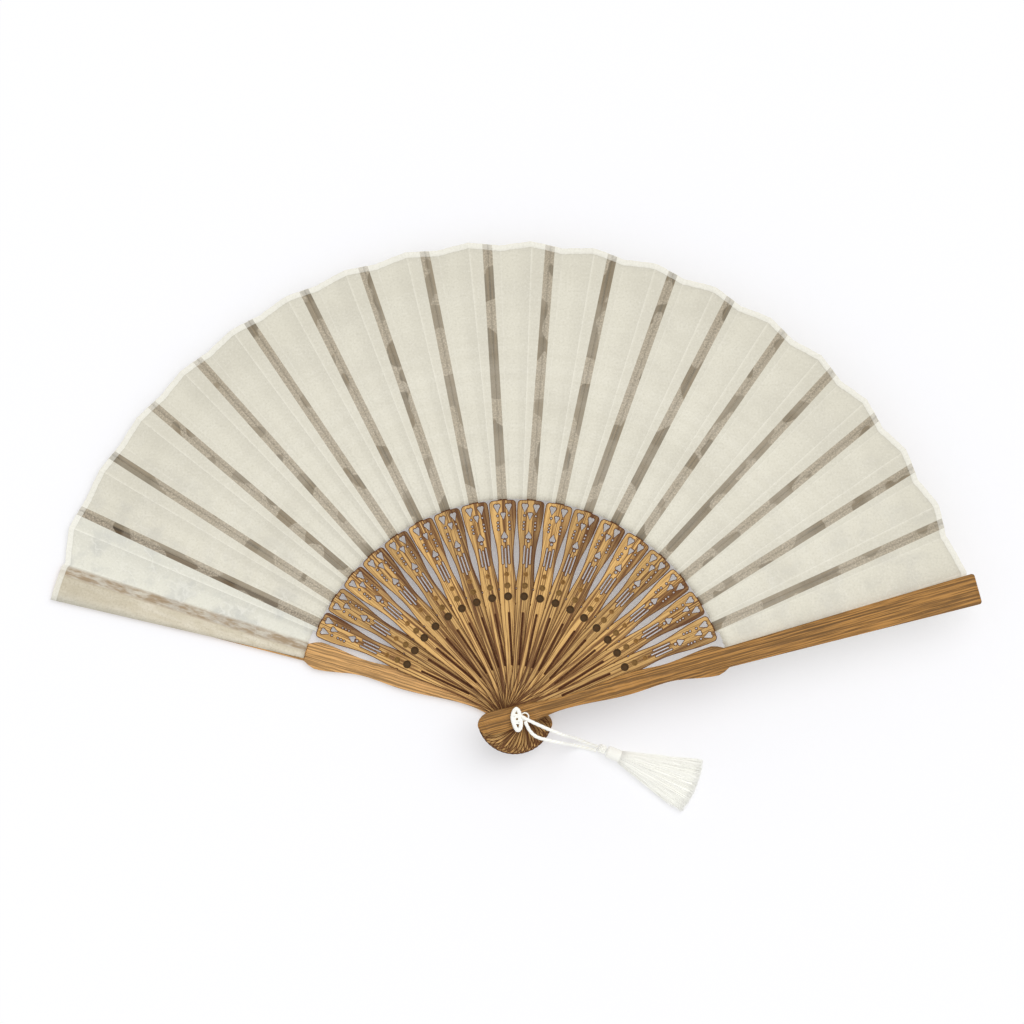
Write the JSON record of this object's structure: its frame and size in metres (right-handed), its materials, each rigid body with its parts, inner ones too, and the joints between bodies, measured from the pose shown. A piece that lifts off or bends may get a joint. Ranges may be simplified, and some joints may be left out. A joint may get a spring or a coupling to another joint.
{
  "type": "folding hand fan",
  "caption": "Folding hand fan with pierced bamboo sticks, two guards, a pleated cream silk leaf, a riveted pivot and a white corded tassel, lying open.",
  "frame": {"origin": "on the axis of the pivot rivet, at the underside of the rear guard, which is what the open fan lies on", "axes": "+Z along the rivet from the rear guard up through the stack of sticks to the front guard; +Y from the pivot towards the middle of the open leaf; +X to the right, towards the front guard's outer end"},
  "size_m": [0.378, 0.2325, 0.0246],
  "materials": {
    "bamboo": "satin",
    "guard_bamboo": "satin",
    "silk": "soft sheen",
    "metal": "satin",
    "cord": "soft sheen"
  },
  "bodies": {
    "rear_stick": {"rear_guard": "guard_bamboo", "silk_rear": "silk", "rivet": "metal", "washer": "metal", "rivet_cap": "metal", "pivot_knot": "cord", "knot_loop": "cord", "strand_upper": "cord", "strand_lower": "cord", "tassel_knot": "cord", "tassel_collar": "cord", "tassel_skirt": "cord"},
    "stick_01": {"rib_01": "bamboo", "silk_01": "silk"},
    "stick_02": {"rib_02": "bamboo", "silk_02": "silk"},
    "stick_03": {"rib_03": "bamboo", "silk_03": "silk"},
    "stick_04": {"rib_04": "bamboo", "silk_04": "silk"},
    "stick_05": {"rib_05": "bamboo", "silk_05": "silk"},
    "stick_06": {"rib_06": "bamboo", "silk_06": "silk"},
    "stick_07": {"rib_07": "bamboo", "silk_07": "silk"},
    "stick_08": {"rib_08": "bamboo", "silk_08": "silk"},
    "stick_09": {"rib_09": "bamboo", "silk_09": "silk"},
    "stick_10": {"rib_10": "bamboo", "silk_10": "silk"},
    "stick_11": {"rib_11": "bamboo", "silk_11": "silk"},
    "stick_12": {"rib_12": "bamboo", "silk_12": "silk"},
    "stick_13": {"rib_13": "bamboo", "silk_13": "silk"},
    "stick_14": {"rib_14": "bamboo", "silk_14": "silk"},
    "stick_15": {"rib_15": "bamboo", "silk_15": "silk"},
    "stick_16": {"rib_16": "bamboo", "silk_16": "silk"},
    "stick_17": {"rib_17": "bamboo", "silk_17": "silk"},
    "stick_18": {"rib_18": "bamboo", "silk_18": "silk"},
    "front_stick": {"front_guard": "guard_bamboo", "silk_front": "silk"}
  },
  "joints": [
    {"name": "fold_01", "type": "hinge", "parent": "rear_stick", "child": "stick_01", "pos_m": [0, 0, 0.0108], "axis": [0, 0, 1], "range_deg": [0, 8.84]},
    {"name": "fold_02", "type": "hinge", "parent": "stick_01", "child": "stick_02", "pos_m": [0, 0, 0.0108], "axis": [0, 0, 1], "range_deg": [0, 7.67]},
    {"name": "fold_03", "type": "hinge", "parent": "stick_02", "child": "stick_03", "pos_m": [0, 0, 0.0108], "axis": [0, 0, 1], "range_deg": [0, 7.67]},
    {"name": "fold_04", "type": "hinge", "parent": "stick_03", "child": "stick_04", "pos_m": [0, 0, 0.0108], "axis": [0, 0, 1], "range_deg": [0, 7.67]},
    {"name": "fold_05", "type": "hinge", "parent": "stick_04", "child": "stick_05", "pos_m": [0, 0, 0.0108], "axis": [0, 0, 1], "range_deg": [0, 7.67]},
    {"name": "fold_06", "type": "hinge", "parent": "stick_05", "child": "stick_06", "pos_m": [0, 0, 0.0108], "axis": [0, 0, 1], "range_deg": [0, 7.67]},
    {"name": "fold_07", "type": "hinge", "parent": "stick_06", "child": "stick_07", "pos_m": [0, 0, 0.0108], "axis": [0, 0, 1], "range_deg": [0, 7.67]},
    {"name": "fold_08", "type": "hinge", "parent": "stick_07", "child": "stick_08", "pos_m": [0, 0, 0.0108], "axis": [0, 0, 1], "range_deg": [0, 7.67]},
    {"name": "fold_09", "type": "hinge", "parent": "stick_08", "child": "stick_09", "pos_m": [0, 0, 0.0108], "axis": [0, 0, 1], "range_deg": [0, 7.67]},
    {"name": "fold_10", "type": "hinge", "parent": "stick_09", "child": "stick_10", "pos_m": [0, 0, 0.0108], "axis": [0, 0, 1], "range_deg": [0, 7.67]},
    {"name": "fold_11", "type": "hinge", "parent": "stick_10", "child": "stick_11", "pos_m": [0, 0, 0.0108], "axis": [0, 0, 1], "range_deg": [0, 7.67]},
    {"name": "fold_12", "type": "hinge", "parent": "stick_11", "child": "stick_12", "pos_m": [0, 0, 0.0108], "axis": [0, 0, 1], "range_deg": [0, 7.67]},
    {"name": "fold_13", "type": "hinge", "parent": "stick_12", "child": "stick_13", "pos_m": [0, 0, 0.0108], "axis": [0, 0, 1], "range_deg": [0, 7.67]},
    {"name": "fold_14", "type": "hinge", "parent": "stick_13", "child": "stick_14", "pos_m": [0, 0, 0.0108], "axis": [0, 0, 1], "range_deg": [0, 7.67]},
    {"name": "fold_15", "type": "hinge", "parent": "stick_14", "child": "stick_15", "pos_m": [0, 0, 0.0108], "axis": [0, 0, 1], "range_deg": [0, 7.67]},
    {"name": "fold_16", "type": "hinge", "parent": "stick_15", "child": "stick_16", "pos_m": [0, 0, 0.0108], "axis": [0, 0, 1], "range_deg": [0, 7.67]},
    {"name": "fold_17", "type": "hinge", "parent": "stick_16", "child": "stick_17", "pos_m": [0, 0, 0.0108], "axis": [0, 0, 1], "range_deg": [0, 7.67]},
    {"name": "fold_18", "type": "hinge", "parent": "stick_17", "child": "stick_18", "pos_m": [0, 0, 0.0108], "axis": [0, 0, 1], "range_deg": [0, 7.67]},
    {"name": "fold_19", "type": "hinge", "parent": "stick_18", "child": "front_stick", "pos_m": [0, 0, 0.0108], "axis": [0, 0, 1], "range_deg": [0, 8.84]}
  ],
  "couplings": [
    {"joint": "fold_02", "follows": "fold_01", "ratio": 0.86821},
    {"joint": "fold_03", "follows": "fold_01", "ratio": 0.86821},
    {"joint": "fold_04", "follows": "fold_01", "ratio": 0.86821},
    {"joint": "fold_05", "follows": "fold_01", "ratio": 0.86821},
    {"joint": "fold_06", "follows": "fold_01", "ratio": 0.86821},
    {"joint": "fold_07", "follows": "fold_01", "ratio": 0.86821},
    {"joint": "fold_08", "follows": "fold_01", "ratio": 0.86821},
    {"joint": "fold_09", "follows": "fold_01", "ratio": 0.86821},
    {"joint": "fold_10", "follows": "fold_01", "ratio": 0.86821},
    {"joint": "fold_11", "follows": "fold_01", "ratio": 0.86821},
    {"joint": "fold_12", "follows": "fold_01", "ratio": 0.86821},
    {"joint": "fold_13", "follows": "fold_01", "ratio": 0.86821},
    {"joint": "fold_14", "follows": "fold_01", "ratio": 0.86821},
    {"joint": "fold_15", "follows": "fold_01", "ratio": 0.86821},
    {"joint": "fold_16", "follows": "fold_01", "ratio": 0.86821},
    {"joint": "fold_17", "follows": "fold_01", "ratio": 0.86821},
    {"joint": "fold_18", "follows": "fold_01", "ratio": 0.86821},
    {"joint": "fold_19", "follows": "fold_01", "ratio": 1}
  ]
}
